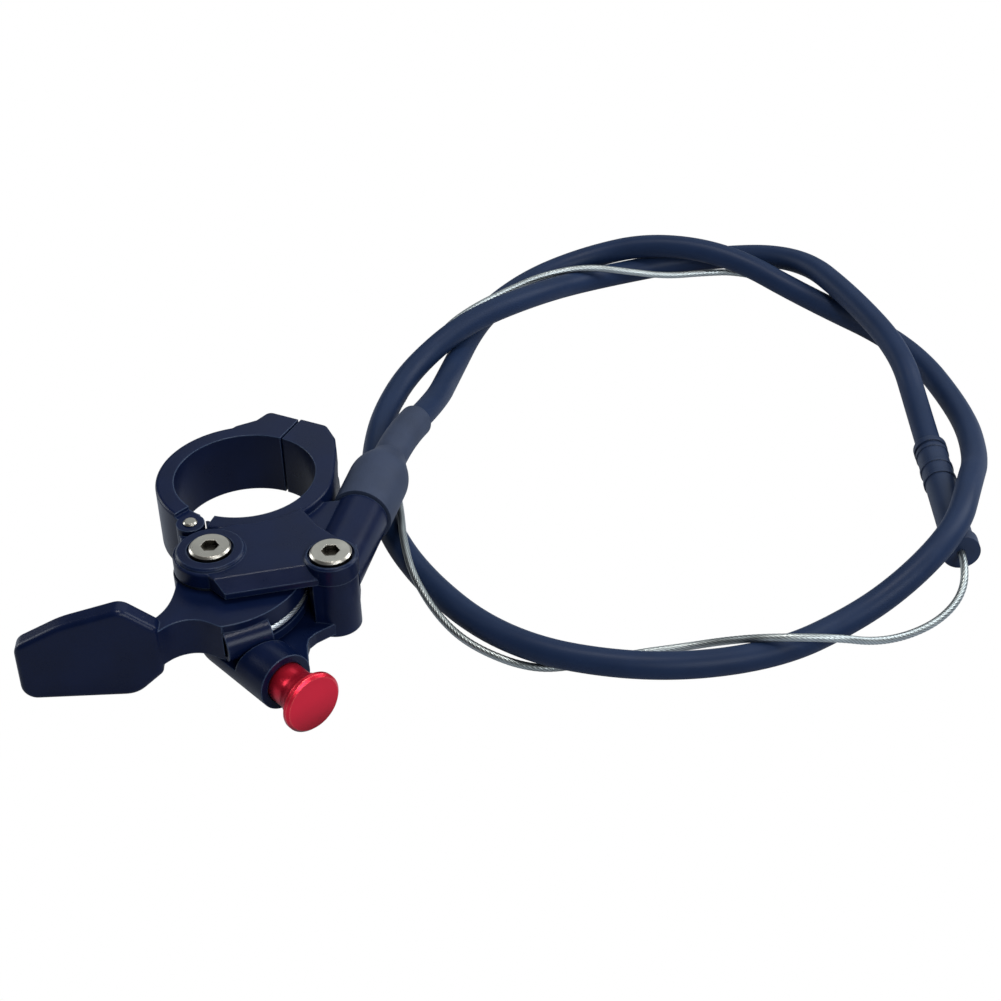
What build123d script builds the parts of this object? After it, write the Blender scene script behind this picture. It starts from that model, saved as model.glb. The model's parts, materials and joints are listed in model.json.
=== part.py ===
# Fork lockout lever: a hinged bar clamp with a pull lever, a release button and a coiled control cable
# Frame: origin on the clamp bore at its middle, +Z along the bar towards the cover plate,
# +X to the cable side, +Y away from the lever's paddle, all in mm
import os
from math import acos, cos, degrees, hypot, pi, radians, sin, sqrt, tan

from build123d import *

os.makedirs("parts", exist_ok=True)

# Fits
thread_gap = 0.02
running_gap = 0.05
stem_gap = 0.08
face_gap = 0.1
step_gap = 0.15
swing_gap = 0.3

# Clamp ring
bore_radius = 11.1
clamp_width = 10.5
ring_wall = 2.9
slit_angle = 62.3
slit_half = 0.2
cradle_angle = -110.5
strap_end_angle = 223.5
hinge_angle = -124.16
hinge_inset = 0.465
knuckle_radius = 2.2
tongue_half = 2.05
ear_step = 0.6
clamp_edge = 0.5
wedge_margin = 6.0
slit_reach = 12.4

# Ears of the clamp, across the slit and outwards along it
body_ear = [(0, 9), (0, 17.4), (4.8, 17.4), (7.8, 14.9), (9.6, 12.2), (12.3, 6.7), (9, 5)]
strap_ear = [(0, 9), (0, 17.2), (-5.9, 17.2), (-6.6, 14.2), (-9.0, 11.2), (-8.5, 8)]
ear_corner = 1.5
ear_shoulder = 2.5
strap_corner = 1.2

# Clamp screw
screw_reach = 13.9
shank_radius = 2.0
clamp_head_radius = 2.6
clamp_head_height = 2.3
clamp_head_from = 4.65
clamp_seat = 3.4
clamp_recess_radius = 3.0
clamp_clearance_radius = 2.45
clamp_shank_end = -6.3
clamp_socket_across = 2.5
clamp_socket_depth = 1.3

# Hinge pin
pin_radius = 0.9
pin_dome = 1.1
pin_dome_height = 0.3

# Pivot and post
pivot_x = -3.5
pivot_y = -21.1
post_x = 14.5
post_y = -23.6
post_radius = 3.75
post_bottom = -5.8

# Heights in the body
base_bottom = -5.25
base_top = -3.3
block_top = 3.95
pivot_boss_radius = 5.3
thread_boss_radius = 3.8
thread_boss_bottom = -7.2
base_disc_radius = 16.4
base_disc_from = -68
base_disc_to = 12
block_outline = [(-9.7, -11.5), (-8, -17), (10, -17), (10.9, -24), (11.6, -26.8), (14.5, -27.3),
                 (17.9, -23.2), (17.9, -17), (15.2, -6), (0, -8)]
base_wing = [(6, -34), (10.9, -35.9), (10.55, -31.9), (10.75, -30.5), (11.7, -29.3), (14.5, -27.3), (8, -24)]
hub_room = 6.5
barrel_room_from = -125
barrel_room_to = -40
drum_room_to = 33

# Cover plate
plate_thickness = 2.5
plate_outline = [(-5.5, -16.2), (9.3, -10.5), (12.2, -15.6), (16, -19.5), (17, -25), (12.9, -27.1), (-0.9, -29.6), (-5, -25)]
plate_pivot_end = 5.7
plate_post_end = 4.05
plate_bevel_down = 1.5
plate_bevel_in = 2.2
pivot_collar_radius = 5.2
post_collar_radius = 4.05
collar_height = 0.6
collar_edge = 0.3
plate_edge = 0.3
head_recess_radius = 3.5
head_recess_depth = 0.1
plate_hole_radius = 2.2

# Cover screws
head_radius = 3.15
head_height = 1.3
head_edge = 0.3
socket_across = 2.5
socket_depth = 1.0
pivot_screw_bottom = -7.2
cover_screw_bottom = -3.0

# Lever
lever_bottom = -2.75
lever_top = 3.25
drum_from = -80
drum_to = 30
hub_radius = 5.9
groove_past = 1.0
groove_bottom = -1.25
groove_top = 0.45
wire_height = -0.4
wire_wrap_radius = 13.4
anchor_angle = -66
anchor_radius = 2.4
anchor_length = 7.0
anchor_wall = 0.65
neck_bottom = -3.05
neck_front = [(-12.6, -35.6), (-10.7, -35.7), (-9.4, -34.5), (-7.3, -33.25), (-4.5, -33.15), (-2.8, -34.0), (-1.2, -34.95)]
neck_inside = [(0.6, -32.5), (0, -21.1)]
neck_back = [(-8.6, -21.1), (-8.75, -25.8), (-9.4, -29.3), (-10.4, -31.4), (-12.6, -33.6)]
paddle_front = -36.0
paddle_thickness = 3.2
paddle_outline = [(-31.55, -8.2), (-31.55, 1.5), (-24.5, 5.1), (-15.3, 7.7), (-10.3, 3.8), (-10.3, -4.3), (-14.6, -8.2)]
paddle_corners = [2.4, 2.2, 15, 2.6, 1.2, 1.2, 4.5]
paddle_front_edge = 0.9
paddle_back_edge = 0.6

# Bush and washers on the pivot
bush_radius = 3.0
washer_radius = 5.4
lower_washer_radius = 5.7
lower_washer_top = -2.85
upper_washer_from = 3.3
upper_washer_to = 3.85

# Latch
track_inner = 6.0
track_outer = 10.2
track_from = -84
track_to = -20
track_top = -1.45
notch_radius = 11.4
notch_from = -36
notch_to = -24

# Release button and its housing
button_x = 7.69
button_y = -39.25
button_z = -4.0
button_heading = -50
barrel_radius = 4.4
barrel_back = 14.0
button_bore_depth = 5.2
stem_radius = 3.15
stem_end = -2.5
stem_out = 2.3
button_radius = 4.75
button_face = 6.7
button_rim = 0.6
button_edge = 0.4
flare_radius = 3.6
flare_out = 3.9
slide_width = 2.6
slide_bottom = -4.7
slide_top = -3.5
slide_end = -13.5
tooth_place = -12.6
tooth_length = 1.2
tooth_width = 1.6
tooth_top = -1.9
slot_width = 2.9
slot_floor = -4.85
slot_end = -17.6
spring_radius = 0.64
spring_hollow = 0.36

# Cable outlet
outlet_start = -1.25
outlet_z = 0.6
outlet_heading = 75
outlet_radius = 4.4
outlet_back = 15.0
nozzle_radius = 3.4
nozzle_length = 4.5
ferrule_radius = 2.6
ferrule_back = 4.0
wire_radius = 0.6
channel_radius = 0.9
run_start_past = 6.5
wrap_past = 40

# Rubber boot
bell_radius = 4.85
bell_from = 0.3
bell_to = 9.5
bell_end = 15.8
bell_waist = 0.75
bell_waist_past = 3.4
sleeve_radius = 2.8
sleeve_lip = 0.15
boot_cavity_radius = 3.45
sleeve_end = (26.3, 21.8, -0.6)

# Cable housing, laid on the table in two turns
housing_radius = 2.1
housing_sides = 12
cord_low = -6.65
cord_high = -1.7
first_run = 9.0
housing_route = [(31.6, 44.2, cord_low), (37.2, 63.5, cord_low), (46.2, 75.8, -6.5), (57.8, 81.0, -4.8),
                 (70.3, 80.0, cord_high), (84.3, 74.4, cord_high), (97.5, 66.2, cord_low), (113.3, 48.0, cord_low),
                 (118.6, 26.0, cord_low), (117.2, 8.5, -3.6), (113.4, -3.0, -0.3), (109.6, -13.8, -0.3),
                 (101.8, -21.8, -3.0), (92.8, -26.8, cord_low), (79.0, -35.3, cord_low), (59.5, -38.5, -5.3),
                 (39.5, -31.5, -5.3), (25.6, -11.0, cord_low), (19.3, 9.0, cord_low), (19.1, 20.5, -5.2),
                 (20.9, 33.0, -5.2), (25.6, 45.0, -4.6), (35.0, 54.4, cord_high), (46.5, 62.5, cord_high), (58.0, 76.0, cord_low),
                 (80.5, 82.5, cord_low), (97.2, 74.2, -2.4), (104.3, 57.2, cord_high), (109.9, 38.5, cord_high),
                 (111.03, 26.5, -5.75)]
sleeve_start = (110.9, 14.7, -5.75)
flange_end = (110.6, -13.5, -5.75)

# End sleeve on the housing
end_sleeve_steps = [(1.2, 2.75), (0.7, 2.45), (0.8, 2.7), (3.4, 2.55), (0.8, 2.7), (2.4, 2.55), (0.8, 2.7), (15.9, 2.5)]
end_flange_radius = 3.0

# Bare inner wire
wire_sides = 8
wire_low = -8.15
wire_route = [(110.56, -17.3, -5.75), (109.2, -21.9, -7.5), (105.2, -26.6, wire_low), (99.8, -30.0, wire_low),
              (94.0, -33.0, -6.6), (88.0, -35.6, -3.3), (78.0, -35.0, -3.1), (72.2, -31.4, -6.4), (66.0, -30.4, wire_low),
              (58.5, -31.4, wire_low), (50.5, -33.6, wire_low), (43.2, -34.0, wire_low), (35.0, -30.0, -6.9),
              (30.0, -24.0, -6.1), (25.9, -15.4, -4.25), (24.4, -7.1, -3.4), (23.9, 1.0, -4.1), (23.2, 7.7, -5.05),
              (22.9, 13.0, -7.0), (21.2, 19.0, wire_low), (20.2, 26.0, wire_low), (21.5, 34.0, wire_low),
              (24.2, 41.6, -8.0), (26.8, 49.2, -6.3), (31.2, 55.0, -3.0), (36.6, 61.6, -2.9), (42.8, 67.4, -3.2),
              (49.6, 72.0, -2.9), (58.0, 73.6, -2.5), (65.6, 73.2, -3.8), (72.6, 73.3, -5.1), (79.5, 74.5, -5.5),
              (86.0, 75.3, -6.0)]
wire_end = (90.5, 74.0, -6.8)
tip_radius = 0.75
tip_length = 4.0

across_slit = (sin(radians(slit_angle)), -cos(radians(slit_angle)), 0)
along_slit = (cos(radians(slit_angle)), sin(radians(slit_angle)), 0)
button_out = (cos(radians(button_heading)), sin(radians(button_heading)), 0)
outlet_out = (cos(radians(outlet_heading)), sin(radians(outlet_heading)), 0)
half_width = clamp_width / 2
plate_top = block_top + plate_thickness
ring_radius = bore_radius + ring_wall
hinge_x = (ring_radius - hinge_inset) * cos(radians(hinge_angle))
hinge_y = (ring_radius - hinge_inset) * sin(radians(hinge_angle))
drum_radius = wire_wrap_radius + wire_radius
groove_radius = wire_wrap_radius - wire_radius
drum_room = drum_radius + swing_gap
boss_room = hypot(wire_wrap_radius + anchor_radius, anchor_length / 2) + swing_gap
outlet_across = ring_radius + bell_radius + face_gap
outlet_x = outlet_across * outlet_out[1] + outlet_start * outlet_out[0]
outlet_y = outlet_start * outlet_out[1] - outlet_across * outlet_out[0]


def along(start, direction, amount):
    return tuple(s + amount * d for s, d in zip(start, direction))


def wedge(centre_x, centre_y, radius, first, last, steps=9):
    """Corners of a wedge that covers a sector of a disc from the first angle to the last."""
    turns = [first + (last - first) * i / steps for i in range(steps + 1)]
    rim = [(centre_x + radius * cos(radians(a)), centre_y + radius * sin(radians(a))) for a in turns]
    return [(centre_x, centre_y)] + rim


def corner_at(sketch, point):
    return sketch.vertices().sort_by_distance((point[0], point[1], 0))[0]


def cord_radii(points):
    """Each arc takes 0.45 of the shorter run beside its corner."""
    radii = []
    for before, corner, after in zip(points, points[1:], points[2:]):
        back = Vector(*before) - Vector(*corner)
        ahead = Vector(*after) - Vector(*corner)
        turn = 180 - back.get_angle(ahead)
        radii.append(0.45 * min(back.length, ahead.length) / tan(radians(turn / 2)))
    return radii


def section_area(radius, sides):
    return sides / 2 * radius**2 * sin(2 * pi / sides)


clamp_plane = Plane(origin=(0, 0, -half_width), x_dir=across_slit, z_dir=(0, 0, 1))


def across_plane(across):
    """Plane square to the clamp screw, at a distance across the slit."""
    return Plane(origin=along(along((0, 0, 0), along_slit, screw_reach), across_slit, across),
                 x_dir=along_slit, z_dir=across_slit)


def outlet_plane(out):
    return Plane(origin=along((outlet_x, outlet_y, outlet_z), outlet_out, out), x_dir=(0, 0, 1), z_dir=outlet_out)


def button_plane(out):
    return Plane(origin=along((button_x, button_y, button_z), button_out, out), x_dir=(0, 0, 1), z_dir=button_out)


# The straight run of wire leaves the drum at a tangent and ends at the ferrule
run_end = along((outlet_x, outlet_y, outlet_z), outlet_out, -ferrule_back)
run_reach = hypot(run_end[0] - pivot_x, run_end[1] - pivot_y)
run_bearing = Vector(1, 0, 0).get_angle(Vector(run_end[0] - pivot_x, run_end[1] - pivot_y, 0))
tangent_angle = run_bearing - degrees(acos(wire_wrap_radius / run_reach))
tangent_run = sqrt(run_reach**2 - wire_wrap_radius**2)
tangent_point = (pivot_x + wire_wrap_radius * cos(radians(tangent_angle)),
                 pivot_y + wire_wrap_radius * sin(radians(tangent_angle)), wire_height)
run_share = run_start_past / tangent_run
run_start = tuple(a + (b - a) * run_share for a, b in zip(tangent_point, run_end))
run_direction = Vector(*run_end) - Vector(*run_start)
wrap_end_angle = tangent_angle + wrap_past

# The boot's sleeve bends towards the cord, and the cord leaves along it
bell_tip = along((outlet_x, outlet_y, outlet_z), outlet_out, bell_end)
sleeve_chord = (Vector(*sleeve_end) - Vector(*bell_tip)).normalized()
sleeve_turn = sleeve_chord * (2 * sleeve_chord.dot(Vector(*outlet_out))) - Vector(*outlet_out)
cord_first = tuple(Vector(*sleeve_end) + sleeve_turn * first_run)
housing_points = [sleeve_end, cord_first] + housing_route + [sleeve_start]
wire_points = [flange_end] + wire_route + [wire_end]

# Clamp body: half of the clamp ring with its ear, the base, the upper block, the post, the button
# barrel and the cable outlet, all one casting
with BuildPart() as clamp_body:
    # Ring half and ear
    with BuildSketch(Plane.XY.offset(-half_width)):
        Circle(ring_radius)
        Polygon(*wedge(0, 0, ring_radius + wedge_margin, cradle_angle, slit_angle), align=None, mode=Mode.INTERSECT)
    extrude(amount=clamp_width)
    with BuildSketch(clamp_plane) as body_ear_sketch:
        Polygon(*body_ear, align=None)
        fillet(corner_at(body_ear_sketch, body_ear[2]), ear_corner)
        fillet(corner_at(body_ear_sketch, body_ear[3]), ear_shoulder)
    extrude(amount=clamp_width)
    # Tongue that carries the hinge pin
    with BuildSketch(Plane.XY.offset(-tongue_half)):
        Circle(ring_radius)
        Polygon(*wedge(0, 0, ring_radius + wedge_margin, cradle_angle - 14, cradle_angle + 5, 2), align=None,
                mode=Mode.INTERSECT)
        with Locations((hinge_x, hinge_y)):
            Circle(knuckle_radius)
    extrude(amount=2 * tongue_half)
    # Base plate
    with BuildSketch(Plane.XY.offset(base_bottom)):
        with Locations((hinge_x, hinge_y)):
            Circle(knuckle_radius)
        with Locations((pivot_x, pivot_y)):
            Circle(pivot_boss_radius)
        make_hull()
        Polygon(*wedge(pivot_x, pivot_y, base_disc_radius, base_disc_from, base_disc_to, 24), align=None)
        with Locations((post_x, post_y)):
            Circle(post_radius)
        Polygon(*block_outline, align=None)
        Polygon(*base_wing, align=None)
    extrude(amount=base_top - base_bottom)
    with BuildSketch(Plane.XY.offset(thread_boss_bottom)):
        with Locations((pivot_x, pivot_y)):
            Circle(thread_boss_radius)
    extrude(amount=base_top - thread_boss_bottom)
    with BuildSketch(Plane.XY.offset(post_bottom)):
        with Locations((post_x, post_y)):
            Circle(post_radius)
    extrude(amount=base_top - post_bottom)
    # Button barrel with its domed back
    with BuildSketch(button_plane(-barrel_back)):
        Circle(barrel_radius)
    extrude(amount=barrel_back)
    with Locations(button_plane(-barrel_back)):
        Sphere(barrel_radius)
    # Room for the lever's anchor boss to swing over the barrel
    with BuildSketch(Plane.XY.offset(base_top)):
        Polygon(*wedge(pivot_x, pivot_y, boss_room, barrel_room_from, barrel_room_to, 24), align=None)
    extrude(amount=lever_top - base_top, mode=Mode.SUBTRACT)
    # Upper block and post
    with BuildSketch(Plane.XY.offset(base_top)):
        Polygon(*block_outline, align=None)
        with Locations((post_x, post_y)):
            Circle(post_radius)
    extrude(amount=block_top - base_top)
    # Cable outlet with its nozzle
    with BuildSketch(outlet_plane(-outlet_back)):
        Circle(outlet_radius)
    extrude(amount=outlet_back)
    with BuildSketch(outlet_plane(0)):
        Circle(nozzle_radius)
    extrude(amount=nozzle_length)
    # Room for the drum and the hub
    with BuildSketch(Plane.XY.offset(base_top)):
        with Locations((pivot_x, pivot_y)):
            Circle(drum_room)
        Polygon(*wedge(pivot_x, pivot_y, drum_room + wedge_margin, barrel_room_from, drum_room_to), align=None, mode=Mode.INTERSECT)
        with Locations((pivot_x, pivot_y)):
            Circle(hub_room)
    extrude(amount=plate_top - base_top, mode=Mode.SUBTRACT)
    # Pocket for the cover plate
    with BuildSketch(Plane.XY.offset(block_top)):
        Polygon(*plate_outline, align=None)
        with Locations((pivot_x, pivot_y)):
            Circle(plate_pivot_end)
        with Locations((post_x, post_y)):
            Circle(plate_post_end)
        offset(amount=face_gap)
        Circle(ring_radius, mode=Mode.SUBTRACT)
    extrude(amount=plate_thickness, mode=Mode.SUBTRACT)
    # Bar bore, and room for the strap's ears at the hinge
    with BuildSketch(Plane.XY.offset(thread_boss_bottom)):
        Circle(bore_radius)
    extrude(amount=clamp_width + wedge_margin, mode=Mode.SUBTRACT)
    with BuildSketch(Plane.XY.offset(tongue_half)):
        with Locations((hinge_x, hinge_y)):
            Circle(knuckle_radius + swing_gap)
    extrude(amount=half_width, mode=Mode.SUBTRACT)
    with BuildSketch(Plane.XY.offset(-tongue_half)):
        with Locations((hinge_x, hinge_y)):
            Circle(knuckle_radius + swing_gap)
    extrude(amount=-half_width, mode=Mode.SUBTRACT)
    # Half of the slit
    with BuildSketch(clamp_plane):
        with Locations((0, ring_radius)):
            Rectangle(2 * slit_half, slit_reach)
    extrude(amount=clamp_width, mode=Mode.SUBTRACT)
    # Holes for the hinge pin, the screws, the clamp screw's head and the wire
    with BuildSketch(Plane.XY.offset(-half_width)):
        with Locations((hinge_x, hinge_y)):
            Circle(pin_radius + thread_gap)
    extrude(amount=clamp_width, mode=Mode.SUBTRACT)
    with BuildSketch(Plane.XY.offset(pivot_screw_bottom)):
        with Locations((pivot_x, pivot_y)):
            Circle(shank_radius + thread_gap)
    extrude(amount=base_top - pivot_screw_bottom, mode=Mode.SUBTRACT)
    with BuildSketch(Plane.XY.offset(cover_screw_bottom - face_gap)):
        with Locations((post_x, post_y)):
            Circle(shank_radius + thread_gap)
    extrude(amount=block_top - cover_screw_bottom + 2 * face_gap, mode=Mode.SUBTRACT)
    with BuildSketch(across_plane(0)):
        Circle(clamp_clearance_radius)
    extrude(amount=clamp_seat + 1, mode=Mode.SUBTRACT)
    with BuildSketch(across_plane(clamp_seat)):
        Circle(clamp_recess_radius)
    extrude(amount=ring_radius, mode=Mode.SUBTRACT)
    with BuildSketch(outlet_plane(-ferrule_back)):
        Circle(ferrule_radius + running_gap)
    extrude(amount=ferrule_back + nozzle_length, mode=Mode.SUBTRACT)
    with BuildSketch(Plane(origin=run_start, z_dir=run_direction)):
        Circle(channel_radius)
    extrude(amount=run_direction.length, mode=Mode.SUBTRACT)
    # Button bore and the slot for the latch strip
    with BuildSketch(button_plane(-button_bore_depth)):
        Circle(stem_radius + stem_gap)
    extrude(amount=button_bore_depth, mode=Mode.SUBTRACT)
    with BuildSketch(button_plane(slot_end)):
        with Locations(((slot_floor + base_top) / 2 + face_gap - button_z, 0)):
            Rectangle(base_top - slot_floor + 2 * face_gap, slot_width)
    extrude(amount=-slot_end - button_bore_depth + face_gap, mode=Mode.SUBTRACT)
    # Rounded upper edges of the ring, the ear and the block
    body_rim = [e for e in clamp_body.edges() if all(abs(v.Z - half_width) < thread_gap
                and hypot(v.X, v.Y) > bore_radius + clamp_edge for v in e.vertices())]
    fillet(body_rim, clamp_edge)
clamp_body.part.label = "clamp_body"

# Clamp strap: the hinged half of the clamp ring
with BuildPart() as clamp_strap:
    with BuildSketch(Plane.XY.offset(-half_width)):
        Circle(ring_radius)
        Polygon(*wedge(0, 0, ring_radius + wedge_margin, slit_angle, strap_end_angle), align=None, mode=Mode.INTERSECT)
    extrude(amount=clamp_width)
    with BuildSketch(clamp_plane) as strap_ear_sketch:
        Polygon(*strap_ear, align=None)
        fillet(corner_at(strap_ear_sketch, strap_ear[2]), strap_corner)
        fillet(corner_at(strap_ear_sketch, strap_ear[4]), strap_corner)
    extrude(amount=clamp_width)
    # Two ears of the hinge, the upper one a step lower than the ring
    with BuildSketch(Plane.XY.offset(-half_width)):
        Circle(ring_radius)
        Polygon(*wedge(0, 0, ring_radius + wedge_margin, strap_end_angle - 5, strap_end_angle + 12.3, 2), align=None,
                mode=Mode.INTERSECT)
        with Locations((hinge_x, hinge_y)):
            Circle(knuckle_radius)
    extrude(amount=clamp_width - ear_step)
    with BuildSketch(Plane.XY.offset(-tongue_half - face_gap)):
        with Locations((hinge_x, hinge_y)):
            Circle(knuckle_radius + swing_gap)
        Polygon(*wedge(0, 0, ring_radius + wedge_margin, strap_end_angle + 2, strap_end_angle + 20, 2), align=None)
    extrude(amount=2 * tongue_half + 2 * face_gap, mode=Mode.SUBTRACT)
    with BuildSketch(Plane.XY.offset(-half_width)):
        Circle(bore_radius)
    extrude(amount=clamp_width, mode=Mode.SUBTRACT)
    with BuildSketch(clamp_plane):
        with Locations((0, ring_radius)):
            Rectangle(2 * slit_half, slit_reach)
    extrude(amount=clamp_width, mode=Mode.SUBTRACT)
    with BuildSketch(Plane.XY.offset(-half_width)):
        with Locations((hinge_x, hinge_y)):
            Circle(pin_radius + running_gap)
    extrude(amount=clamp_width, mode=Mode.SUBTRACT)
    with BuildSketch(across_plane(0)):
        Circle(shank_radius + thread_gap)
    extrude(amount=-ring_radius, mode=Mode.SUBTRACT)
    # Rounded outer edges, and softer ones round the bore
    strap_rim = [e for e in clamp_strap.edges() if all(abs(abs(v.Z) - half_width) < thread_gap
                 and hypot(v.X, v.Y) > bore_radius + clamp_edge for v in e.vertices())]
    fillet(strap_rim, clamp_edge)
clamp_strap.part.label = "clamp_strap"

# Hinge pin with a small domed head
with BuildPart() as hinge_pin:
    with BuildSketch(Plane.XY.offset(-half_width)):
        with Locations((hinge_x, hinge_y)):
            Circle(pin_radius)
    extrude(amount=clamp_width - ear_step + face_gap)
    with BuildSketch(Plane.XY.offset(half_width - ear_step + face_gap)):
        with Locations((hinge_x, hinge_y)):
            Circle(pin_dome)
    extrude(amount=pin_dome_height)
    chamfer(hinge_pin.edges().sort_by(Axis.Z)[-1], pin_dome_height * 0.8)
hinge_pin.part.label = "hinge_pin"

# Clamp screw
with BuildPart() as clamp_screw:
    with BuildSketch(across_plane(clamp_shank_end)):
        Circle(shank_radius)
    extrude(amount=clamp_head_from - clamp_shank_end)
    with BuildSketch(across_plane(clamp_head_from)):
        Circle(clamp_head_radius)
    extrude(amount=clamp_head_height)
    chamfer(clamp_screw.edges().sort_by(Axis(origin=(0, 0, 0), direction=across_slit))[-1], head_edge)
    with BuildSketch(across_plane(clamp_head_from + clamp_head_height - clamp_socket_depth)):
        RegularPolygon(clamp_socket_across / 2, 6, major_radius=False)
    extrude(amount=clamp_socket_depth, mode=Mode.SUBTRACT)
clamp_screw.part.label = "clamp_screw"

# Cover plate with a bevelled front and a raised collar round each screw
with BuildPart() as cover_plate:
    with BuildSketch(Plane.XY.offset(block_top)):
        Polygon(*plate_outline, align=None)
        with Locations((pivot_x, pivot_y)):
            Circle(plate_pivot_end)
        with Locations((post_x, post_y)):
            Circle(plate_post_end)
        Circle(ring_radius + swing_gap, mode=Mode.SUBTRACT)
    extrude(amount=plate_thickness)
    plate_front = cover_plate.faces().sort_by(Axis.Z)[-1].edges().filter_by(GeomType.LINE).sort_by(Axis.Y)[0]
    chamfer(plate_front, length=plate_bevel_down, length2=plate_bevel_in, reference=cover_plate.faces().sort_by(Axis.Y)[0])
    plate_rim = [e for e in cover_plate.edges() if all(abs(v.Z - plate_top) < thread_gap for v in e.vertices())]
    fillet(plate_rim, plate_edge)
    with BuildSketch(Plane.XY.offset(block_top)):
        with Locations((pivot_x, pivot_y)):
            Circle(pivot_collar_radius)
        with Locations((post_x, post_y)):
            Circle(post_collar_radius)
    extrude(amount=plate_thickness + collar_height)
    chamfer(cover_plate.edges().filter_by(GeomType.CIRCLE).group_by(Axis.Z)[-1], collar_edge)
    with BuildSketch(Plane.XY.offset(plate_top - head_recess_depth)):
        with Locations((pivot_x, pivot_y), (post_x, post_y)):
            Circle(head_recess_radius)
    extrude(amount=head_recess_depth + collar_height, mode=Mode.SUBTRACT)
    with BuildSketch(Plane.XY.offset(block_top)):
        with Locations((pivot_x, pivot_y), (post_x, post_y)):
            Circle(plate_hole_radius)
    extrude(amount=plate_thickness, mode=Mode.SUBTRACT)
cover_plate.part.label = "cover_plate"

# Two cover screws
with BuildPart() as pivot_screw:
    with BuildSketch(Plane.XY.offset(pivot_screw_bottom)):
        with Locations((pivot_x, pivot_y)):
            Circle(shank_radius)
    extrude(amount=plate_top - pivot_screw_bottom)
    with BuildSketch(Plane.XY.offset(plate_top - head_recess_depth)):
        with Locations((pivot_x, pivot_y)):
            Circle(head_radius)
    extrude(amount=head_height)
    chamfer(pivot_screw.edges().sort_by(Axis.Z)[-1], head_edge)
    with BuildSketch(Plane.XY.offset(plate_top - head_recess_depth + head_height - socket_depth)):
        with Locations((pivot_x, pivot_y)):
            RegularPolygon(socket_across / 2, 6, major_radius=False)
    extrude(amount=socket_depth, mode=Mode.SUBTRACT)
pivot_screw.part.label = "pivot_screw"

with BuildPart() as cover_screw:
    with BuildSketch(Plane.XY.offset(cover_screw_bottom)):
        with Locations((post_x, post_y)):
            Circle(shank_radius)
    extrude(amount=plate_top - cover_screw_bottom)
    with BuildSketch(Plane.XY.offset(plate_top - head_recess_depth)):
        with Locations((post_x, post_y)):
            Circle(head_radius)
    extrude(amount=head_height)
    chamfer(cover_screw.edges().sort_by(Axis.Z)[-1], head_edge)
    with BuildSketch(Plane.XY.offset(plate_top - head_recess_depth + head_height - socket_depth)):
        with Locations((post_x, post_y)):
            RegularPolygon(socket_across / 2, 6, major_radius=False)
    extrude(amount=socket_depth, mode=Mode.SUBTRACT)
cover_screw.part.label = "cover_screw"

# Bush and washers on the pivot
with BuildPart() as pivot_bush:
    with BuildSketch(Plane.XY.offset(base_top)):
        with Locations((pivot_x, pivot_y)):
            Circle(bush_radius)
            Circle(shank_radius + running_gap, mode=Mode.SUBTRACT)
    extrude(amount=block_top - base_top)
pivot_bush.part.label = "pivot_bush"

with BuildPart() as lower_washer:
    with BuildSketch(Plane.XY.offset(base_top)):
        with Locations((pivot_x, pivot_y)):
            Circle(lower_washer_radius)
            Circle(bush_radius + thread_gap, mode=Mode.SUBTRACT)
    extrude(amount=lower_washer_top - base_top)
lower_washer.part.label = "lower_washer"

with BuildPart() as upper_washer:
    with BuildSketch(Plane.XY.offset(upper_washer_from)):
        with Locations((pivot_x, pivot_y)):
            Circle(washer_radius)
            Circle(bush_radius + thread_gap, mode=Mode.SUBTRACT)
    extrude(amount=upper_washer_to - upper_washer_from)
upper_washer.part.label = "upper_washer"

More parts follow.
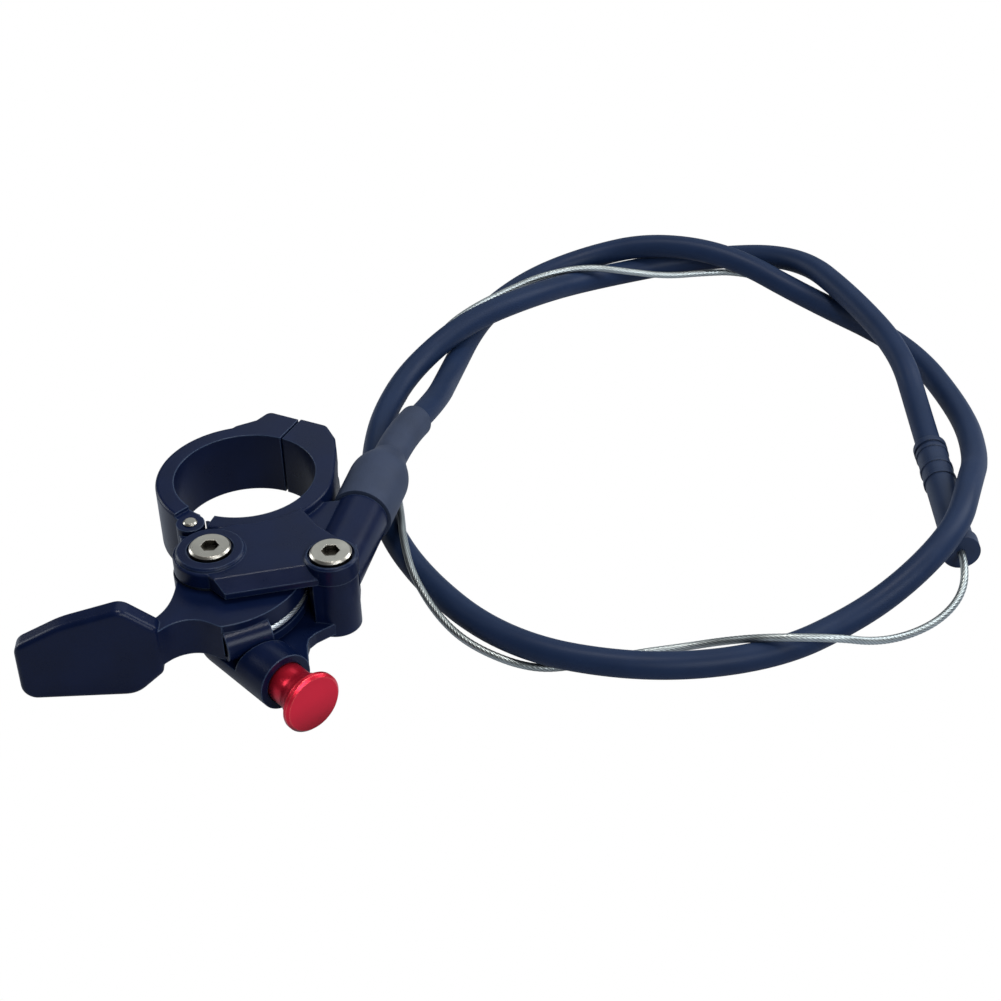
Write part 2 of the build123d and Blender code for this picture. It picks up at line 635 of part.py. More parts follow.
# Lever: paddle, neck, hub, cable drum and anchor boss, one casting
with BuildPart() as lever:
    # Paddle with rounded edges
    with BuildSketch(Plane(origin=(0, paddle_front, 0), x_dir=(1, 0, 0), z_dir=(0, -1, 0))) as paddle_sketch:
        Polygon(*paddle_outline, align=None)
        for corner, corner_radius in zip(paddle_outline, paddle_corners):
            fillet(corner_at(paddle_sketch, corner), corner_radius)
    extrude(amount=-paddle_thickness)
    fillet(lever.faces().sort_by(Axis.Y)[0].edges(), paddle_front_edge)
    fillet(lever.faces().sort_by(Axis.Y)[-1].edges(), paddle_back_edge)
    # Drum and hub
    with BuildSketch(Plane.XY.offset(lever_bottom)):
        with Locations((pivot_x, pivot_y)):
            Circle(drum_radius)
        Polygon(*wedge(pivot_x, pivot_y, drum_radius + wedge_margin, drum_from, drum_to), align=None, mode=Mode.INTERSECT)
        with Locations((pivot_x, pivot_y)):
            Circle(hub_radius)
    extrude(amount=lever_top - lever_bottom)
    # Cable groove
    with BuildSketch(Plane.XY.offset(groove_bottom)):
        with Locations((pivot_x, pivot_y)):
            Circle(drum_radius + groove_past)
            Circle(groove_radius, mode=Mode.SUBTRACT)
    extrude(amount=groove_top - groove_bottom, mode=Mode.SUBTRACT)
    # Anchor boss with a round socket for the cable head, open at its left end
    anchor_plane = Plane(
        origin=(pivot_x + wire_wrap_radius * cos(radians(anchor_angle)),
                pivot_y + wire_wrap_radius * sin(radians(anchor_angle)), wire_height),
        x_dir=(0, 0, 1), z_dir=(-sin(radians(anchor_angle)), cos(radians(anchor_angle)), 0))
    with BuildSketch(anchor_plane.offset(-anchor_length / 2)):
        Circle(anchor_radius)
    extrude(amount=anchor_length)
    # Neck
    with BuildSketch(Plane.XY.offset(neck_bottom)):
        with BuildLine():
            Spline(*neck_front)
            Polyline(neck_front[-1], *neck_inside, neck_back[0])
            Spline(*neck_back)
            Line(neck_back[-1], neck_front[0])
        make_face()
    extrude(amount=lever_top - neck_bottom)
    # Socket for the wire's head
    with BuildSketch(anchor_plane.offset(-anchor_length / 2)):
        Circle(anchor_radius - anchor_wall)
    extrude(amount=anchor_length / 2, mode=Mode.SUBTRACT)
    with BuildSketch(Plane.XZ.offset(-pivot_y)):
        with Locations((pivot_x + wire_wrap_radius, wire_height)):
            Circle(wire_radius + step_gap)
    revolve(axis=Axis((pivot_x, pivot_y, 0), (0, 0, -1)), revolution_arc=-anchor_angle, mode=Mode.SUBTRACT)
    # Room for the washer, bore for the bush, and the latch track with its notch
    with BuildSketch(Plane.XY.offset(neck_bottom)):
        with Locations((pivot_x, pivot_y)):
            Circle(lower_washer_radius + swing_gap)
    extrude(amount=lever_bottom - neck_bottom, mode=Mode.SUBTRACT)
    with BuildSketch(Plane.XY.offset(neck_bottom)):
        with Locations((pivot_x, pivot_y)):
            Circle(bush_radius + running_gap)
    extrude(amount=lever_top - neck_bottom, mode=Mode.SUBTRACT)
    with BuildSketch(Plane.XY.offset(neck_bottom)):
        with Locations((pivot_x, pivot_y)):
            Circle(track_outer)
        Polygon(*wedge(pivot_x, pivot_y, track_outer + wedge_margin, track_from, track_to), align=None, mode=Mode.INTERSECT)
        with Locations((pivot_x, pivot_y)):
            Circle(track_inner, mode=Mode.SUBTRACT)
    extrude(amount=track_top - neck_bottom, mode=Mode.SUBTRACT)
    with BuildSketch(Plane.XY.offset(neck_bottom)):
        with Locations((pivot_x, pivot_y)):
            Circle(notch_radius)
        Polygon(*wedge(pivot_x, pivot_y, notch_radius + wedge_margin, notch_from, notch_to, 2), align=None,
                mode=Mode.INTERSECT)
        with Locations((pivot_x, pivot_y)):
            Circle(track_inner, mode=Mode.SUBTRACT)
    extrude(amount=track_top - neck_bottom, mode=Mode.SUBTRACT)
lever.part.label = "lever"

# Head of the wire in the anchor boss, and the wire wrapped on the drum
with BuildPart() as cable_head:
    with BuildSketch(anchor_plane.offset(-anchor_length / 2 + swing_gap)):
        Circle(anchor_radius - anchor_wall - running_gap)
    extrude(amount=anchor_length / 2 - swing_gap - thread_gap)
cable_head.part.label = "cable_head"

with BuildPart() as drum_cable:
    with BuildSketch(Plane(origin=(pivot_x, pivot_y, 0), x_dir=(cos(radians(wrap_end_angle)),
                           sin(radians(wrap_end_angle)), 0),
                           z_dir=(sin(radians(wrap_end_angle)), -cos(radians(wrap_end_angle)), 0))):
        with Locations((wire_wrap_radius, wire_height)):
            Circle(wire_radius)
    revolve(axis=Axis((pivot_x, pivot_y, 0), (0, 0, -1)), revolution_arc=wrap_end_angle - anchor_angle)
drum_cable.part.label = "drum_cable"

# Straight run of wire from the drum to the housing
with BuildPart() as cable_run:
    with BuildSketch(Plane(origin=run_start, z_dir=run_direction)):
        Circle(wire_radius)
    extrude(amount=run_direction.length - wire_radius / 2)
cable_run.part.label = "cable_run"

# Ferrule that ends the housing inside the nozzle
with BuildPart() as housing_ferrule:
    with BuildSketch(outlet_plane(-ferrule_back)):
        Circle(ferrule_radius)
        Circle(channel_radius, mode=Mode.SUBTRACT)
    extrude(amount=ferrule_back + nozzle_length)
housing_ferrule.part.label = "housing_ferrule"

# Rubber boot: a bell over the nozzle and a sleeve that bends with the housing
with BuildPart() as rubber_boot:
    with BuildSketch(Plane(origin=(outlet_x, outlet_y, outlet_z), x_dir=(0, 0, 1),
                           z_dir=(outlet_out[1], -outlet_out[0], 0))) as bell_sketch:
        with BuildLine():
            shoulder = Spline((bell_radius, -bell_to), (bell_radius - bell_waist, -bell_to - bell_waist_past),
                              (sleeve_radius + sleeve_lip, -bell_end),
                              tangents=((0, -1), (-0.25, -1)))
            Polyline((bell_radius, -bell_to), (bell_radius, -bell_from), (0, -bell_from), (0, -bell_end),
                     (sleeve_radius + sleeve_lip, -bell_end))
        make_face()
    revolve(axis=Axis((outlet_x, outlet_y, outlet_z), outlet_out))
    with BuildLine() as sleeve_path:
        TangentArc(bell_tip, sleeve_end, tangent=outlet_out)
    with BuildSketch(outlet_plane(bell_end)):
        Circle(sleeve_radius)
    sweep(path=sleeve_path.line)
    with BuildSketch(outlet_plane(0)):
        Circle(boot_cavity_radius)
    extrude(amount=nozzle_length + running_gap, mode=Mode.SUBTRACT)
rubber_boot.part.label = "rubber_boot"

# Cable housing
with BuildPart() as cable_housing:
    with BuildLine() as housing_path:
        FilletPolyline(*housing_points, radius=cord_radii(housing_points))
    with BuildSketch(Plane(origin=housing_path.line @ 0, z_dir=housing_path.line % 0)):
        RegularPolygon(housing_radius, housing_sides)
    sweep(path=housing_path.line)
cable_housing.part.label = "cable_housing"

# End sleeve on the housing, ridged, with a flange at the wire's end
end_axis = Vector(*flange_end) - Vector(*sleeve_start)
with BuildPart() as end_sleeve:
    step_from = 0
    for step_length, step_radius in end_sleeve_steps:
        with BuildSketch(Plane(origin=Vector(*sleeve_start) + end_axis.normalized() * step_from, z_dir=end_axis)):
            Circle(step_radius)
        extrude(amount=step_length)
        step_from += step_length
    with BuildSketch(Plane(origin=Vector(*sleeve_start) + end_axis.normalized() * step_from, z_dir=end_axis)):
        Circle(end_flange_radius)
    extrude(amount=end_axis.length - step_from)
end_sleeve.part.label = "end_sleeve"

# Bare inner wire and the tip crimped on its end
with BuildPart() as inner_wire:
    with BuildLine() as wire_path:
        FilletPolyline(*wire_points, radius=cord_radii(wire_points))
    with BuildSketch(Plane(origin=wire_path.line @ 0, z_dir=wire_path.line % 0)):
        RegularPolygon(wire_radius, wire_sides)
    sweep(path=wire_path.line)
inner_wire.part.label = "inner_wire"

with BuildPart() as wire_tip:
    with BuildSketch(Plane(origin=wire_path.line @ 1, z_dir=wire_path.line % 1)):
        Circle(tip_radius)
    extrude(amount=tip_length)
    chamfer(wire_tip.edges().sort_by(Axis.X)[-1], tip_radius / 3)
wire_tip.part.label = "wire_tip"

# Release button, its latch strip and the spring behind the strip
with BuildPart() as release_button:
    with BuildSketch(Plane(origin=(button_x, button_y, button_z), x_dir=(0, 0, 1),
                           z_dir=(button_out[1], -button_out[0], 0))):
        with BuildLine():
            Polyline((stem_radius, -stem_out), (stem_radius, -stem_end), (0, -stem_end), (0, -button_face),
                     (button_radius - button_edge, -button_face), (button_radius, button_edge - button_face),
                     (button_radius, button_edge + button_rim - button_face),
                     (button_radius - button_edge, 2 * button_edge + button_rim - button_face))
            Spline((button_radius - button_edge, 2 * button_edge + button_rim - button_face), (flare_radius, -flare_out),
                   (stem_radius, -stem_out), tangents=((-1, 1), (0, 1)))
        make_face()
    revolve(axis=Axis((button_x, button_y, button_z), button_out))
release_button.part.label = "release_button"

with BuildPart() as latch_slide:
    with BuildSketch(button_plane(slide_end)):
        with Locations(((slide_bottom + slide_top) / 2 - button_z, 0)):
            Rectangle(slide_top - slide_bottom, slide_width)
    extrude(amount=stem_end - slide_end)
    with BuildSketch(button_plane(tooth_place - tooth_length / 2)):
        with Locations(((slide_bottom + tooth_top) / 2 - button_z, 0)):
            Rectangle(tooth_top - slide_bottom, tooth_width)
    extrude(amount=tooth_length)
latch_slide.part.label = "latch_slide"

with BuildPart() as button_spring:
    spring_start = along((button_x, button_y, (slide_bottom + slide_top) / 2), button_out, slot_end + face_gap / 2)
    with BuildSketch(Plane(origin=spring_start, z_dir=button_out)):
        Circle(spring_radius)
        Circle(spring_hollow, mode=Mode.SUBTRACT)
    extrude(amount=slide_end - slot_end - face_gap)
button_spring.part.label = "button_spring"

export_step(clamp_body.part, "parts/clamp_body.step")
export_step(clamp_strap.part, "parts/clamp_strap.step")
export_step(hinge_pin.part, "parts/hinge_pin.step")
export_step(clamp_screw.part, "parts/clamp_screw.step")
export_step(cover_plate.part, "parts/cover_plate.step")
export_step(pivot_screw.part, "parts/pivot_screw.step")
export_step(cover_screw.part, "parts/cover_screw.step")
export_step(pivot_bush.part, "parts/pivot_bush.step")
export_step(lower_washer.part, "parts/lower_washer.step")
export_step(upper_washer.part, "parts/upper_washer.step")
export_step(lever.part, "parts/lever.step")
export_step(cable_head.part, "parts/cable_head.step")
export_step(drum_cable.part, "parts/drum_cable.step")
export_step(cable_run.part, "parts/cable_run.step")
export_step(housing_ferrule.part, "parts/housing_ferrule.step")
export_step(rubber_boot.part, "parts/rubber_boot.step")
export_step(cable_housing.part, "parts/cable_housing.step")
export_step(end_sleeve.part, "parts/end_sleeve.step")
export_step(inner_wire.part, "parts/inner_wire.step")
export_step(wire_tip.part, "parts/wire_tip.step")
export_step(release_button.part, "parts/release_button.step")
export_step(latch_slide.part, "parts/latch_slide.step")
export_step(button_spring.part, "parts/button_spring.step")

print("housing points", [tuple(round(v, 2) for v in point) for point in housing_points])
print("housing radii", [round(r, 1) for r in cord_radii(housing_points)])
print("housing length", round(housing_path.wire().length, 1))
print("housing volume over section times length",
      round(cable_housing.part.volume / (section_area(housing_radius, housing_sides) * housing_path.wire().length), 4))
print("wire radii", [round(r, 1) for r in cord_radii(wire_points)])
print("wire length", round(wire_path.wire().length, 1))
print("wire volume over section times length",
      round(inner_wire.part.volume / (section_area(wire_radius, wire_sides) * wire_path.wire().length), 4))
print("run of wire from", tuple(round(v, 2) for v in run_start), "to", tuple(round(v, 2) for v in run_end))
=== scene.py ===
# Fork lockout lever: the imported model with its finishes, its cable and its studio
import json
import math

import bpy
import numpy as np
from mathutils import Matrix, Vector

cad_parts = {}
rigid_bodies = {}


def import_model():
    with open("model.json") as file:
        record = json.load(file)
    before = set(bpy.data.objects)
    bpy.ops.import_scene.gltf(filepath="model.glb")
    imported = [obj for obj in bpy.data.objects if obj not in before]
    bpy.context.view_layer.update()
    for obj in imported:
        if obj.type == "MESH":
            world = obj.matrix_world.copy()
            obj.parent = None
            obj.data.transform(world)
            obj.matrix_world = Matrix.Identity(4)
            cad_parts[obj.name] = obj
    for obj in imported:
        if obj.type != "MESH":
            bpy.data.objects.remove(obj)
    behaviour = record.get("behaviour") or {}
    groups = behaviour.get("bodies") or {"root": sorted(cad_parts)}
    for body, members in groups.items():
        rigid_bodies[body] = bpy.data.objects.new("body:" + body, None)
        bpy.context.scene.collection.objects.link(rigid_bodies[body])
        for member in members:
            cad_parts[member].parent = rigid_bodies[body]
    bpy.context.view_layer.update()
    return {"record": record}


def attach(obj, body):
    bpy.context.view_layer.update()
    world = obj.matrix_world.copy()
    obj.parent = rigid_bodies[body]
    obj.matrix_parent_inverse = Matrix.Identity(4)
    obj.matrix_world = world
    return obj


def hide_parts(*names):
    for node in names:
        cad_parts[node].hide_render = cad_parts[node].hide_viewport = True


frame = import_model()
MM = 0.001
MICRON = 0.000001

# Camera of the photograph
LENS = 79.12
SENSOR = 36.0
PITCH = math.radians(36)
ROLL = math.radians(-2.5)
CAMERA_PLACE = (0.03983, -0.28187, 0.20299)

# Floor and world
TABLE = -0.00875
FLOOR_HALF = 6.0
MIRRORED_GLOW = 0.2
WORLD_STRENGTH = 0.12

# Colours, linear
NAVY = (0.0020, 0.0056, 0.0250)
RUBBER = (0.0225, 0.0315, 0.0590)
JACKET = (0.0085, 0.0178, 0.0460)
RED = (0.70, 0.014, 0.038)
STEEL = (0.50, 0.46, 0.39)
WIRE = (0.38, 0.405, 0.395)
# Painted highlight colours along the outer edges of the navy and the red coats.
NAVY_EDGE_HIGHLIGHT = (0.045, 0.065, 0.11)
RED_EDGE_HIGHLIGHT = (0.95, 0.14, 0.13)
BRASS = (0.62, 0.42, 0.16)
ALLOY = (0.5, 0.5, 0.51)
BLACK = (0.008, 0.010, 0.016)
# Lighter copy of the wire colour: a painted highlight for the wire on the drum.
PAINTED_HIGHLIGHT_WIRE = (0.80, 0.83, 0.84)
COOL_LIGHT = (0.88, 0.94, 1.0)
COOL_BACK_LIGHT = (0.82, 0.92, 1.0)
SKY = (0.86, 0.93, 1, 1)
FLOOR = (0.36, 0.41, 0.50, 1)
WHITE = (1, 1, 1, 1)


# Shader sockets as values
class Signal:
    """A shader output that adds, multiplies and so on by making the nodes for it."""

    def __init__(self, tree, socket):
        self.tree = tree
        self.socket = socket

    def node(self, kind, inputs=None, output=0, **settings):
        """Any node of the tree: its inputs by name or number, and the output that is wanted."""
        made = self.tree.nodes.new(kind)
        for key, value in settings.items():
            setattr(made, key, value)
        for key, value in (inputs or {}).items():
            if isinstance(value, Signal):
                self.tree.links.new(value.socket, made.inputs[key])
            else:
                made.inputs[key].default_value = value
        return Signal(self.tree, made.outputs[output])

    def maths(self, operation, other):
        return self.node("ShaderNodeMath", {0: self, 1: other}, operation=operation)

    def __add__(self, other):
        return self.maths("ADD", other)

    def __mul__(self, other):
        return self.maths("MULTIPLY", other)

    def between(self, low, high):
        """0 below low, 1 above high, smooth between."""
        return self.node("ShaderNodeMapRange", {"Value": self, "From Min": low, "From Max": high},
                         interpolation_type="SMOOTHSTEP")

    def blend(self, first, second):
        """The first colour where this is 0, the second where it is 1."""
        return self.node("ShaderNodeMix", {"Factor": self, 6: first, 7: second}, output=2, data_type="RGBA")

    def bump(self, distance, normal=None):
        """Normal of a surface with this as its height, on top of another normal if there is one."""
        inputs = {"Height": self, "Distance": distance, "Strength": 1.0}
        if normal is not None:
            inputs["Normal"] = normal
        return self.node("ShaderNodeBump", inputs)


def rgba(colour, scale=1.0):
    """The colour times the scale, with an alpha of 1."""
    return tuple(min(c * scale, 1.0) for c in colour) + (1.0,)


def finish(name):
    """A new material and the object coordinate to draw its pattern from."""
    material = bpy.data.materials.new(name)
    material.use_nodes = True
    tree = material.node_tree
    shader = tree.nodes["Principled BSDF"]
    start = Signal(tree, shader.outputs[0])
    place = start.node("ShaderNodeTexCoord", output="Object")
    return material, shader, start, place


def connect(shader, **signals):
    """Links or sets inputs of the shader, each named with _ for a space."""
    for key, value in signals.items():
        socket = shader.inputs[key.replace("_", " ")]
        if isinstance(value, Signal):
            value.tree.links.new(value.socket, socket)
        else:
            socket.default_value = value


def noise(start, place, scale, detail):
    return start.node("ShaderNodeTexNoise", {"Vector": place, "Scale": scale, "Detail": detail}, output="Fac")


def rounded(start, radius):
    """Normal of a surface whose sharp edges are rounded by the radius."""
    return start.node("ShaderNodeBevel", {"Radius": radius}, output="Normal", samples=6)


def openness(start, reach):
    """1 out in the open and 0 deep in a corner or a recess, within the reach."""
    return start.node("ShaderNodeAmbientOcclusion", {"Distance": reach}, output="AO", samples=4)


# Painted highlight along the outer edges: the rounding radius that finds them, and the reach that keeps it out of
# inner corners.
HIGHLIGHT_EDGE_RADIUS = 0.38 * MM
HIGHLIGHT_EDGE_REACH = 1.2 * MM


def painted_edge_highlight(start):
    """Painted highlight mask: 1 along the outer edges and 0 on the faces between them and in the inner corners."""
    normals = {0: rounded(start, HIGHLIGHT_EDGE_RADIUS), 1: start.node("ShaderNodeNewGeometry", output="Normal")}
    agree = start.node("ShaderNodeVectorMath", normals, output="Value", operation="DOT_PRODUCT")
    return (agree * -1 + 1).between(0.01, 0.14) * openness(start, HIGHLIGHT_EDGE_REACH).between(0.55, 0.85)


COAT_CLOUD = 160
# Painted shade: how dark the hollows of a coat get, as a share of its colour.
SHADED = 0.22


def coated(name, colour, rough, grain, grain_depth, shine=0.2, soften=0.25 * MM, mottle=0.12, edge=None,
           metallic=0.0, recess=None):
    """Fine-grained coat: mottled colour, a cast grain in the bump and softened edges.

    edge is the colour of its painted highlight along the outer edges, and recess the reach within which painted
    shade darkens its hollows."""
    material, shader, start, place = finish(name)
    cloud = noise(start, place, COAT_CLOUD, 3)
    fine = noise(start, place, grain, 2)
    tone = cloud.between(0.3, 0.7).blend(rgba(colour, 1 - mottle), rgba(colour, 1 + mottle))
    if edge is not None:
        # Painted highlight: a lighter colour along the outer edges.
        tone = painted_edge_highlight(start).blend(tone, rgba(edge))
    if recess is not None:
        # Painted shade: darker in the hollows, down to SHADED times the colour.
        tone = openness(start, recess).between(0.45, 0.95).blend(rgba(colour, SHADED), tone)
    under = rounded(start, soften) if soften else None
    connect(shader, Base_Color=tone, Roughness=cloud * 0.12 + fine * 0.08 + (rough - 0.1), Metallic=metallic,
            Specular_IOR_Level=shine, Normal=fine.bump(grain_depth, normal=under))
    return material


METAL_CLOUD = 240
METAL_STREAK_DEPTH = 6 * MICRON
METAL_EDGE = 0.12 * MM
# Painted shade in hollows such as the hex sockets: its reach and how dark it gets.
SOCKET_REACH = 2.0 * MM
SOCKET_SHADE = 0.10
TURNED = (900, 900, 5200)
DRAWN = (4000, 4000, 4000)


def metal(name, colour, rough, stretch):
    """Turned or drawn metal: streaks across the stretch in the roughness and the bump, and painted shade in its
    hollows.
    """
    material, shader, start, place = finish(name)
    stretched = start.node("ShaderNodeVectorMath", {0: place, 1: stretch}, operation="MULTIPLY")
    streaks = noise(start, stretched, 1.0, 3)
    cloud = noise(start, place, METAL_CLOUD, 2)
    tone = cloud.between(0.3, 0.7).blend(rgba(colour, 0.86), rgba(colour, 1.06))
    # Painted shade: darker in the hollows.
    tone = openness(start, SOCKET_REACH).between(0.45, 0.9).blend(rgba(colour, SOCKET_SHADE), tone)
    connect(shader, Base_Color=tone, Roughness=streaks * 0.16 + (rough - 0.08), Metallic=1.0,
            Normal=streaks.bump(METAL_STREAK_DEPTH, normal=rounded(start, METAL_EDGE)))
    return material


WIRE_CLOUD = 420
WIRE_GRAIN_DEPTH = 10 * MICRON
GAP_SHADE = 0.16


def stranded(name, colour):
    """Stranded wire: the strands are in the mesh, and painted shade darkens the gaps between them."""
    material, shader, start, place = finish(name)
    gap = start.node("ShaderNodeAttribute", output="Fac", attribute_name="groove")
    cloud = noise(start, place, WIRE_CLOUD, 2)
    # Painted shade: the gaps between the strands darker, down to GAP_SHADE times the colour.
    tone = gap.blend(rgba(colour), rgba(colour, GAP_SHADE))
    worn = cloud.between(0.35, 0.75) * 0.22
    connect(shader, Base_Color=worn.blend(tone, rgba(colour, 1.5)), Roughness=cloud * 0.12 + 0.36,
            Metallic=1.0, Normal=cloud.bump(WIRE_GRAIN_DEPTH))
    return material


FINISHES = {
    "body_alloy": coated("satin_coat", NAVY, 0.30, 5200, 10 * MICRON, shine=0.15, soften=0.35 * MM,
                         edge=NAVY_EDGE_HIGHLIGHT),
    "screw_steel": metal("turned_steel", STEEL, 0.30, TURNED),
    "wire_steel": metal("drawn_wire", WIRE, 0.32, DRAWN),
    "bush_brass": metal("turned_brass", BRASS, 0.32, TURNED),
    "washer_plastic": coated("bearing_plastic", BLACK, 0.5, 3000, 6 * MICRON),
    "ferrule_alloy": metal("turned_alloy", ALLOY, 0.34, TURNED),
    "boot_rubber": coated("boot_rubber", RUBBER, 0.60, 4200, 20 * MICRON, shine=0.25),
    "housing_plastic": coated("housing_jacket", JACKET, 0.46, 2600, 4 * MICRON, shine=0.13, soften=None,
                              mottle=0.06),
    "sleeve_plastic": coated("sleeve_plastic", JACKET, 0.46, 3000, 10 * MICRON, shine=0.25),
    "button_red": coated("red_anodised", RED, 0.32, 5200, 6 * MICRON, shine=0.4, mottle=0.04, edge=RED_EDGE_HIGHLIGHT,
                         metallic=0.75, recess=6 * MM),
}
strand_finish = stranded("stranded_wire", WIRE)
# The wire on the drum takes a lighter copy of the wire finish: a painted highlight.
painted_highlight_strand = stranded("stranded_wire_painted_highlight", PAINTED_HIGHLIGHT_WIRE)

for piece in frame["record"]["subparts"]:
    part = bpy.data.objects[piece["node"]]
    part.data.materials.clear()
    part.data.materials.append(FINISHES[piece["material_slot"]])


# The cable, on the same points as the solids, in millimetres. The housing lies on the table at LOW and crosses over
# another strand at HIGH, and the bare wire lies on the table at WIRE_LOW.
LOW = -6.65
HIGH = -1.7
WIRE_LOW = -8.15
SLEEVE_START = (110.9, 14.7, -5.75)
FLANGE_END = (110.6, -13.5, -5.75)
HOUSING_ROUTE = [(26.3, 21.8, -0.6), (29.62, 30.01, -2.2), (31.6, 44.2, LOW), (37.2, 63.5, LOW),
                 (46.2, 75.8, -6.5), (57.8, 81.0, -4.8), (70.3, 80.0, HIGH), (84.3, 74.4, HIGH),
                 (97.5, 66.2, LOW), (113.3, 48.0, LOW), (118.6, 26.0, LOW), (117.2, 8.5, -3.6),
                 (113.4, -3.0, -0.3), (109.6, -13.8, -0.3), (101.8, -21.8, -3.0), (92.8, -26.8, LOW),
                 (79.0, -35.3, LOW), (59.5, -38.5, -5.3), (39.5, -31.5, -5.3), (25.6, -11.0, LOW),
                 (19.3, 9.0, LOW), (19.1, 20.5, -5.2), (20.9, 33.0, -5.2), (25.6, 45.0, -4.6),
                 (35.0, 54.4, HIGH), (46.5, 62.5, HIGH), (58.0, 76.0, LOW), (80.5, 82.5, LOW),
                 (97.2, 74.2, -2.4), (104.3, 57.2, HIGH), (109.9, 38.5, HIGH), (111.03, 26.5, -5.75),
                 SLEEVE_START]
WIRE_ROUTE = [FLANGE_END, (110.56, -17.3, -5.75), (109.2, -21.9, -7.5), (105.2, -26.6, WIRE_LOW),
              (99.8, -30.0, WIRE_LOW), (94.0, -33.0, -6.6), (88.0, -35.6, -3.3), (78.0, -35.0, -3.1),
              (72.2, -31.4, -6.4), (66.0, -30.4, WIRE_LOW), (58.5, -31.4, WIRE_LOW),
              (50.5, -33.6, WIRE_LOW), (43.2, -34.0, WIRE_LOW), (35.0, -30.0, -6.9), (30.0, -24.0, -6.1),
              (25.9, -15.4, -4.25), (24.4, -7.1, -3.4), (23.9, 1.0, -4.1), (23.2, 7.7, -5.05),
              (22.9, 13.0, -7.0), (21.2, 19.0, WIRE_LOW), (20.2, 26.0, WIRE_LOW), (21.5, 34.0, WIRE_LOW),
              (24.2, 41.6, -8.0), (26.8, 49.2, -6.3), (31.2, 55.0, -3.0), (36.6, 61.6, -2.9),
              (42.8, 67.4, -3.2), (49.6, 72.0, -2.9), (58.0, 73.6, -2.5), (65.6, 73.2, -3.8),
              (72.6, 73.3, -5.1), (79.5, 74.5, -5.5), (86.0, 75.3, -6.0), (90.5, 74.0, -6.8)]


def metres(points):
    return [tuple(v * MM for v in point) for point in points]


def smooth_line(points, step):
    """Points a step apart along the route's own NURBS spline, with their distance along it."""
    curve = bpy.data.curves.new("route", "CURVE")
    curve.dimensions = "3D"
    curve.resolution_u = 24
    spline = curve.splines.new("NURBS")
    spline.points.add(len(points) - 1)
    for place, point in zip(spline.points, points):
        place.co = (*point, 1.0)
    spline.order_u = 3
    spline.use_endpoint_u = True
    guide = bpy.data.objects.new("route", curve)
    bpy.context.scene.collection.objects.link(guide)
    mesh = bpy.data.meshes.new_from_object(guide)
    line = np.array([v.co[:] for v in mesh.vertices])
    bpy.data.objects.remove(guide)
    bpy.data.meshes.remove(mesh)
    bpy.data.curves.remove(curve)
    gone = np.r_[0, np.cumsum(np.linalg.norm(np.diff(line, axis=0), axis=1))]
    even = np.linspace(0, gone[-1], int(gone[-1] / step) + 1)
    return np.stack([np.interp(even, gone, line[:, k]) for k in range(3)], 1), even


def carried_frames(line):
    """Two unit vectors square to the line at each point, carried along it with no twist."""
    ahead = np.gradient(line, axis=0)
    ahead /= np.linalg.norm(ahead, axis=1)[:, None]
    side = np.cross(ahead[0], (0, 0, 1.0))
    side /= np.linalg.norm(side)
    sides = []
    for direction in ahead:
        side = side - direction * side.dot(direction)
        side /= np.linalg.norm(side)
        sides.append(side)
    sides = np.array(sides)
    return sides, np.cross(ahead, sides)


def skin(name, rings):
    """Mesh over rings of equal size, an array of ring by place by 3, closed by a flat cap at each end."""
    count, around = rings.shape[:2]
    mesh = bpy.data.meshes.new(name)
    row = np.arange(count - 1)[:, None] * around
    here = np.arange(around)[None, :]
    after = (here + 1) % around
    quads = np.stack([row + here, row + after, row + around + after, row + around + here], 2).reshape(-1, 4)
    first_cap = list(range(around))[::-1]
    last_cap = list(range((count - 1) * around, count * around))
    faces = quads.tolist() + [first_cap, last_cap]
    mesh.from_pydata(rings.reshape(-1, 3).tolist(), [], faces)
    mesh.polygons.foreach_set("use_smooth", np.ones(len(faces), dtype=bool))
    mesh.update()
    made = bpy.data.objects.new(name, mesh)
    bpy.context.scene.collection.objects.link(made)
    return made


HOUSING_RADIUS = 2.1 * MM
HOUSING_AROUND = 28
HOUSING_STEP = 0.8 * MM
WIRE_RADIUS = 0.6 * MM
WIRE_AROUND = 54
WIRE_STEP = 0.22 * MM
STRANDS = 9
STRAND_LAY = 7.0 * MM
STRAND_CUT = 0.16


def around_angles(around):
    return np.linspace(0, 2 * np.pi, around, endpoint=False)


def tube(name, line, radius, around):
    """Round tube: centre(s) + r(s, a) * (side * cos a + up * sin a). The radius r is a number or an array."""
    points = line[0]
    sides, ups = carried_frames(points)
    angle = around_angles(around)
    size = np.broadcast_to(radius, (len(points), around))
    spokes = sides[:, None] * np.cos(angle)[None, :, None] + ups[:, None] * np.sin(angle)[None, :, None]
    return skin(name, points[:, None] + size[..., None] * spokes)


def strand_gap(along, angle):
    """(1 - |cos(n / 2 * (a - 2 pi s / lay))|) ** 2: 0 on top of a strand and 1 in the gap between two."""
    return (1 - np.abs(np.cos(STRANDS / 2 * (angle - 2 * np.pi * along / STRAND_LAY)))) ** 2


def stranded_tube(name, line, radius, material):
    """Tube of twisted strands, with the depth of its gaps kept in the groove attribute."""
    gap = strand_gap(line[1][:, None], around_angles(WIRE_AROUND)[None, :])
    made = tube(name, line, radius * (1 - STRAND_CUT * gap), WIRE_AROUND)
    layer = made.data.attributes.new("groove", "FLOAT", "POINT")
    layer.data.foreach_set("value", gap.ravel().astype(np.float32))
    made.data.materials.append(material)
    return made


housing_line = smooth_line(metres(HOUSING_ROUTE), HOUSING_STEP)
wire_line = smooth_line(metres(WIRE_ROUTE), WIRE_STEP)
housing = tube("coiled_housing", housing_line, HOUSING_RADIUS, HOUSING_AROUND)
housing.data.materials.append(FINISHES["housing_plastic"])
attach(housing, "body")
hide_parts("cable_housing")

